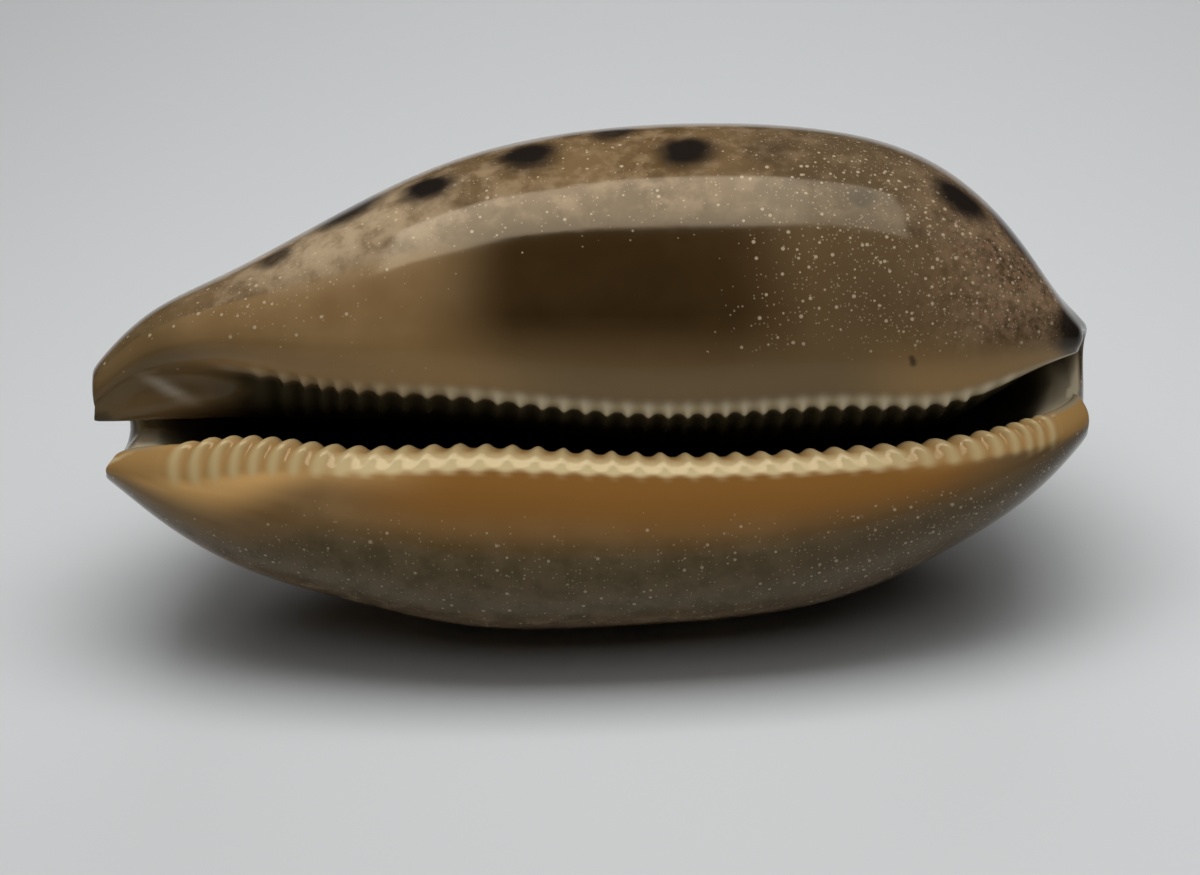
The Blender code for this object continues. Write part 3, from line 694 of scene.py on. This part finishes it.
def shell_marks(numbers, places, points, knots):
    """Soft masks of the shell's colour zones, where s runs round the section and x along the shell."""
    at = dict(zip(OUTER_NAMES, knots))
    s = np.broadcast_to(places[None, :], points.shape[:2])
    x, w = points[..., 0], points[..., 1]
    return {**lip_marks(numbers, s, x, at), **side_marks(s, x, at), **end_marks(s, x, w, at)}


def back_spots(outer, places, knots):
    """Dark spots strewn over the back: points drawn by lot, kept when far enough from those kept before."""
    lot = np.random.default_rng(BACK_SPOT_SEED)
    low, high = knots[OUTER_NAMES.index("low_side")], knots[OUTER_NAMES.index("high_side")]
    rows = np.flatnonzero((places > low + BACK_SPOT_EDGES[0]) & (places < high - BACK_SPOT_EDGES[1]))
    free = len(outer) // BACK_SPOT_FREE_PART
    columns = np.arange(free, len(outer) - free)
    tries = outer[lot.choice(columns, BACK_SPOT_TRIES), lot.choice(rows, BACK_SPOT_TRIES)]
    kept = np.empty((0, 3))
    for middle in tries:
        if np.all(np.linalg.norm(kept - middle, axis=1) > BACK_SPOT_GAP):
            kept = np.vstack([kept, middle])
    long = lot.uniform(*BACK_SPOT_REACH, len(kept))
    short = long * lot.uniform(*BACK_SPOT_SLENDERNESS, len(kept))
    turns = lot.uniform(*BACK_SPOT_TURN, len(kept))
    strength = lot.uniform(*BACK_SPOT_STRENGTH, len(kept))
    return np.column_stack([kept, long, short, turns, strength]).tolist()


def make_shell():
    """Work out both surfaces, put them in one closed mesh and paint its zones as attributes."""
    knots = section_knots()
    places = section_places(knots)
    first, last = TOOTH_NUMBERS[0], TOOTH_NUMBERS[-1]
    numbers = np.linspace(first, last, (last - first) * COLUMNS_PER_TOOTH + 1)
    outer, inner = sheet(numbers, places, knots)
    outer = outer + outward(outer, inner) * tooth_rise(numbers, places, knots)[..., None]
    outer, inner = knob(outer), knob(inner)
    spots_behind = back_spots(outer, places, knots)
    marks = shell_marks(numbers, places, outer, knots)
    lying, lying_inner = laid_down(outer), laid_down(inner)
    drop = resting_place(lying)
    lying = lying - drop
    lying[..., 2] = np.maximum(lying[..., 2], 0.0)
    lying_inner = lying_inner - drop
    inside = lying_inner[1:-1, 1:-1].reshape(-1, 3)
    corners = np.concatenate([lying.reshape(-1, 3), inside]) * MM
    faces = sheet_faces(len(numbers), len(places))
    mesh = bpy.data.meshes.new("cowrie_shell")
    mesh.from_pydata(corners.tolist(), [], faces.tolist())
    mesh.shade_smooth()
    masks = {name: np.concatenate([values.ravel(), np.zeros(len(inside))]) for name, values in marks.items()}
    masks["inside"] = np.concatenate([np.zeros(outer[..., 0].size), np.ones(len(inside))])
    masks["near_ends"] = rise(np.abs(corners[:, 0]) / MM, 40.0, 10.0)
    for name, values in masks.items():
        layer = mesh.attributes.new(name, "FLOAT", "POINT")
        layer.data.foreach_set("value", values.astype(np.float32))
    shell = bpy.data.objects.new("cowrie_shell", mesh)
    bpy.context.scene.collection.objects.link(shell)
    return shell, drop, spots_behind


class Recipe:
    """Writes the nodes of a material or of a node group."""

    def __init__(self, tree):
        self.tree = tree

    def add(self, kind, inputs=(), **settings):
        """A node with its settings; inputs pairs a socket's name or number with a value or another socket."""
        node = self.tree.nodes.new("ShaderNode" + kind)
        for name, value in settings.items():
            setattr(node, name, value)
        for name, value in dict(inputs).items():
            self.feed(node.inputs[name], value)
        return node

    def feed(self, socket, value):
        """Link an output to a socket, or set the socket's own value; a colour is set opaque."""
        if isinstance(value, bpy.types.NodeSocket):
            self.tree.links.new(value, socket)
        elif socket.type == "RGBA":
            socket.default_value = (*value, 1.0)
        else:
            socket.default_value = value

    def mark(self, name):
        """One of the shell's painted masks."""
        return self.add("Attribute", attribute_name=name).outputs["Fac"]

    def maths(self, operation, first, second=0.0):
        """One step of arithmetic on two values."""
        return self.add("Math", {0: first, 1: second}, operation=operation).outputs[0]

    def step(self, value, low, high):
        """A smooth step: 0 at low, 1 at high."""
        inputs = {"Value": value, "From Min": low, "From Max": high}
        return self.add("MapRange", inputs, interpolation_type="SMOOTHSTEP").outputs[0]

    def spread(self, value, low, high):
        """A value between 0 and 1 spread evenly from low to high."""
        return self.add("MapRange", {"Value": value, "To Min": low, "To Max": high}).outputs[0]

    def blend(self, share, low, high, kind="MIX"):
        """Two colours mixed by a share."""
        node = self.add("Mix", data_type="RGBA", blend_type=kind)
        for socket, value in ((node.inputs[0], share), (node.inputs[6], low), (node.inputs[7], high)):
            self.feed(socket, value)
        return node.outputs[2]

    def product(self, first, second):
        """Two values multiplied."""
        return self.maths("MULTIPLY", first, second)

    def noise(self, place, size, detail=2.0, rough=0.5):
        """Cloudy noise from 0 to 1 whose clouds are about size millimetres wide."""
        inputs = {"Vector": place, "Scale": 1.0 / size, "Detail": detail, "Roughness": rough}
        return self.add("TexNoise", inputs).outputs["Fac"]


def speck_group():
    """Node group: round specks, at most one in each cell of a Voronoi pattern; density is the share."""
    group = bpy.data.node_groups.new("specks", "ShaderNodeTree")
    for name, kind in (("Place", "Vector"), ("Cell", "Float"), ("Radius", "Float"), ("Density", "Float")):
        group.interface.new_socket(name, in_out="INPUT", socket_type="NodeSocket" + kind)
    group.interface.new_socket("Mask", in_out="OUTPUT", socket_type="NodeSocketFloat")
    recipe = Recipe(group)
    given = group.nodes.new("NodeGroupInput").outputs
    scale = recipe.maths("DIVIDE", 1.0, given["Cell"])
    cells = recipe.add("TexVoronoi", {"Vector": given["Place"], "Scale": scale})
    distance = recipe.product(cells.outputs["Distance"], given["Cell"])
    lot = recipe.add("SeparateColor", {0: cells.outputs["Color"]})
    chosen = recipe.maths("LESS_THAN", lot.outputs[0], given["Density"])
    size = recipe.product(recipe.spread(lot.outputs[1], *SPECK_SIZES), given["Radius"])
    mask = recipe.product(recipe.step(distance, size, recipe.product(size, SPECK_SOLID)), chosen)
    result = group.nodes.new("NodeGroupOutput")
    group.links.new(mask, result.inputs["Mask"])
    return group


def shell_place(recipe, drop):
    """Object coordinates turned back into the shell's own frame, in millimetres: x along, w across, n out."""
    turn = math.radians(SHELL_TURN)
    w = drop[1] * math.sin(turn) + drop[2] * math.cos(turn)
    n = drop[2] * math.sin(turn) - drop[1] * math.cos(turn)
    inputs = {"Vector": recipe.add("TexCoord").outputs["Object"], "Location": (drop[0], w, n),
              "Rotation": (turn - math.pi / 2.0, 0.0, 0.0), "Scale": (1.0 / MM, 1.0 / MM, 1.0 / MM)}
    return recipe.add("Mapping", inputs).outputs[0]


def spots(recipe, place, rows):
    """Spots of one colour: each a smooth step down with the distance in its own radii; the greatest wins."""
    wobble = recipe.add("TexNoise", {"Vector": place, "Scale": SPOT_WOBBLE_SCALE, "Detail": 2.0})
    shaken = recipe.add("VectorMath", {0: wobble.outputs["Color"], 1: (0.5, 0.5, 0.5)}, operation="SUBTRACT")
    shaken = recipe.add("VectorMath", {0: shaken.outputs[0], "Scale": SPOT_WOBBLE}, operation="SCALE")
    shaken = recipe.add("VectorMath", {0: place, 1: shaken.outputs[0]}, operation="ADD").outputs[0]
    total = 0.0
    for x, w, n, long, short, turn, strength in rows:
        inputs = {"Vector": shaken, "Location": (x, w, n), "Rotation": (0.0, 0.0, math.radians(turn)),
                  "Scale": (SPOT_SPREAD * long, SPOT_SPREAD * short, SPOT_SPREAD * (long + short) / 2.0)}
        local = recipe.add("Mapping", inputs, vector_type="TEXTURE").outputs[0]
        away = recipe.add("VectorMath", {0: local}, operation="LENGTH").outputs["Value"]
        near = recipe.product(recipe.step(away, *SPOT_FADE), strength)
        total = recipe.maths("MAXIMUM", total, near)
    return total


def base_skin(recipe, clouds, curds):
    """The skin under everything: tan base, grey-brown margin, mottled back, pale mottle that is partly a
    painted highlight, amber lip, the brow's painted light and shade, and a painted dark reflection on the
    base.
    """
    mark, blend, product, step = recipe.mark, recipe.blend, recipe.product, recipe.step
    edge = product(recipe.maths("SUBTRACT", clouds, 0.5), 0.5)
    skin = blend(step(clouds, 0.3, 0.7), *TAN)
    skin = blend(mark("margin"), skin, blend(step(curds, 0.35, 0.65), *MARGIN_GREY))
    brown = blend(step(clouds, 0.35, 0.65), *BACK_BROWN)
    brown = blend(product(mark("posterior"), 0.75), brown, POSTERIOR_BROWN)
    mottled = blend(product(step(curds, 0.42, 0.70), 0.7), brown, MOTTLE_FAWN)
    skin = blend(step(recipe.maths("ADD", mark("back"), edge), 0.15, 0.75), skin, mottled)
    # pale fawn mottle, partly a painted highlight
    skin = blend(product(mark("pale"), step(curds, 0.15, 0.65)), skin, PALE_FAWN_AND_HIGHLIGHT)
    skin = blend(product(mark("posterior"), 0.6), skin, POSTERIOR_DUN)
    skin = blend(mark("amber"), skin, LIP_AMBER)
    skin = blend(product(mark("flesh"), 0.9), skin, LIP_FLESH)
    # painted light on the brow, with painted shade in the middle of the length
    skin = blend(product(mark("lip_brow"), 0.85), skin, blend(mark("shade"), *BROW_LIGHT_AND_SHADE_TAN))
    # painted dark reflection over the middle of the base
    return blend(product(mark("painted_dark_reflection"), recipe.spread(clouds, 0.88, 1.10)), skin, PAINTED_REFLECTION_BROWN)


def end_skin(recipe, place, skin):
    """Over the skin: patches and rosy grain at the posterior end, the tints of the two tips, and a painted
    highlight in the anterior beak's hollow.
    """
    mark, blend, product, step = recipe.mark, recipe.blend, recipe.product, recipe.step
    patchy = blend(step(recipe.noise(place, *PATCHES), 0.40, 0.62), *PATCH_BROWN)
    skin = blend(product(mark("grain"), 0.7), skin, patchy)
    rosy = product(mark("grain"), step(recipe.noise(place, *GRAINS), 0.35, 0.65))
    skin = blend(product(rosy, 0.5), skin, GRAIN_ROSE)
    skin = blend(product(mark("beak"), 0.6), skin, BEAK_BROWN)
    skin = blend(product(mark("scoop"), 0.5), skin, SCOOP_BROWN)
    # painted highlight in the anterior beak's hollow
    skin = blend(product(mark("beak_highlight"), 0.8), skin, BEAK_HIGHLIGHT_PEARL)
    return blend(product(mark("dusk"), 0.6), skin, DUSK_GREY)


def speckled(recipe, place, skin):
    """Over that: white specks in two sizes, as many as the speckle mask says."""
    group = speck_group()
    layers = []
    for cell, radius, share in SPECKS:
        node = recipe.add("Group", node_tree=group)
        density = recipe.product(recipe.mark("speckle"), share)
        for name, value in (("Place", place), ("Cell", cell), ("Radius", radius), ("Density", density)):
            recipe.feed(node.inputs[name], value)
        layers.append(node.outputs["Mask"])
    white = recipe.maths("MAXIMUM", layers[0], recipe.product(layers[1], FINE_SPECK_STRENGTH))
    return recipe.blend(recipe.product(white, SPECK_STRENGTH), skin, SPECK_WHITE)


def shell_material(drop, spots_behind):
    """Glossy enamel: the skin, then specks, dark tips with painted shade on the knob, and spots, then teeth
    with a painted highlight, the slit's painted shade, canals, and the lining with painted shade deep inside.
    """
    material = bpy.data.materials.new("cowrie_enamel")
    material.use_nodes = True
    shader = material.node_tree.nodes["Principled BSDF"]
    recipe = Recipe(material.node_tree)
    mark, blend, product = recipe.mark, recipe.blend, recipe.product
    place = shell_place(recipe, drop)
    clouds = recipe.noise(place, *CLOUDS)
    curds = recipe.noise(place, *CURDS)

    skin = base_skin(recipe, clouds, curds)
    skin = speckled(recipe, place, end_skin(recipe, place, skin))
    # dark tips, and painted shade on the posterior knob
    skin = blend(mark("tips"), skin, TIP_AND_KNOB_SHADE_BLACK)
    skin = blend(spots(recipe, place, SPOTS + spots_behind), skin, SPOT_BLACK)

    # the outer teeth's cream with the painted highlight of the overhead lamp over it
    cream = blend(product(mark("painted_highlight"), 0.75), blend(mark("crest"), *OUTER_TOOTH_CREAM), PAINTED_HIGHLIGHT_CREAM)
    # outer teeth's cream, darker between the teeth partly as painted shade
    skin = blend(mark("outer_teeth"), skin, cream)
    skin = blend(mark("inner_teeth"), skin, blend(mark("crest"), *INNER_TOOTH_CREAM))
    skin = blend(spots(recipe, place, PALE_MARKS), skin, PALE_MARK_CREAM)
    # painted shade inside the slit
    skin = blend(mark("slit"), skin, blend(mark("crest"), *SLIT_SHADE_OLIVE))
    skin = blend(mark("canal"), skin, CANAL_CREAM)
    # painted shade deep inside, pale lining near the ends
    skin = blend(mark("inside"), skin, blend(mark("near_ends"), *LINING_AND_INSIDE_SHADE))
    recipe.feed(shader.inputs["Base Color"], skin)

    height = recipe.maths("ADD", recipe.noise(place, WAVE_SIZE, 1.0), product(curds, CURD_HEIGHT))
    bump = recipe.add("Bump", {"Height": height, "Strength": 1.0, "Distance": WAVE_HEIGHT * MM})
    recipe.feed(shader.inputs["Normal"], bump.outputs[0])
    recipe.feed(shader.inputs["Roughness"], recipe.spread(curds, *ENAMEL_ROUGHNESS))
    recipe.feed(shader.inputs["Specular Tint"], ENAMEL_TINT)
    shader.inputs["IOR"].default_value = ENAMEL_IOR
    shader.inputs["Specular IOR Level"].default_value = ENAMEL_SPECULAR
    return material


def make_table():
    """A pale flat table, not part of the shell."""
    mesh = bpy.data.meshes.new("table")
    far = TABLE_REACH
    mesh.from_pydata([(-far, -far, 0), (far, -far, 0), (far, far, 0), (-far, far, 0)], [], [(0, 1, 2, 3)])
    table = bpy.data.objects.new("table", mesh)
    bpy.context.scene.collection.objects.link(table)
    material = bpy.data.materials.new("table_white")
    material.use_nodes = True
    shader = material.node_tree.nodes["Principled BSDF"]
    shader.inputs["Base Color"].default_value = (*TABLE_WHITE, 1.0)
    shader.inputs["Roughness"].default_value = TABLE_ROUGHNESS
    mesh.materials.append(material)


def make_camera(drop):
    """Look along the slit's own outward line, rolled by the small angle of the view."""
    turn, roll = math.radians(SHELL_TURN), math.radians(VIEW_ROLL)
    out = Vector((0.0, -math.cos(turn), math.sin(turn)))
    across = Vector((0.0, math.sin(turn), math.cos(turn)))
    along = Vector((1.0, 0.0, 0.0))
    right = along * math.cos(roll) - across * math.sin(roll)
    up = across * math.cos(roll) + along * math.sin(roll)
    middle = Vector([-float(v) * MM for v in drop])
    data = bpy.data.cameras.new("view")
    data.sensor_fit = "HORIZONTAL"
    data.sensor_width = 36.0
    data.lens = LENS
    data.clip_start = 0.01
    camera = bpy.data.objects.new("view", data)
    turned = Matrix((right, up, out)).transposed()
    camera.matrix_world = Matrix.Translation(middle + out * VIEW_DISTANCE * MM) @ turned.to_4x4()
    bpy.context.scene.collection.objects.link(camera)
    bpy.context.scene.camera = camera


def area_light(name, size, place, target, radiance, mirrored):
    """A soft rectangular light; power = 4 x radiance x area."""
    data = bpy.data.lights.new(name, "AREA")
    data.shape = "RECTANGLE"
    data.size, data.size_y = size
    data.energy = 4.0 * radiance * size[0] * size[1]
    light = bpy.data.objects.new(name, data)
    light.location = place
    light.rotation_euler = (Vector(target) - Vector(place)).to_track_quat("-Z", "Y").to_euler()
    light.visible_glossy = mirrored
    bpy.context.scene.collection.objects.link(light)


def make_lights():
    """Two soft panels side by side overhead, a wide faint one, a faint one behind, and a dim world."""
    world = bpy.data.worlds.new("studio")
    bpy.context.scene.world = world
    world.use_nodes = True
    world.node_tree.nodes["Background"].inputs["Color"].default_value = (*[STUDIO_LIGHT] * 3, 1.0)
    for light in LIGHTS:
        area_light(*light)


bpy.context.scene.view_settings.view_transform = "Standard"
shell, drop, spots_behind = make_shell()
shell.data.materials.append(shell_material(drop, spots_behind))
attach(shell, "root")
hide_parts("shell")
make_table()
make_camera(drop)
make_lights()
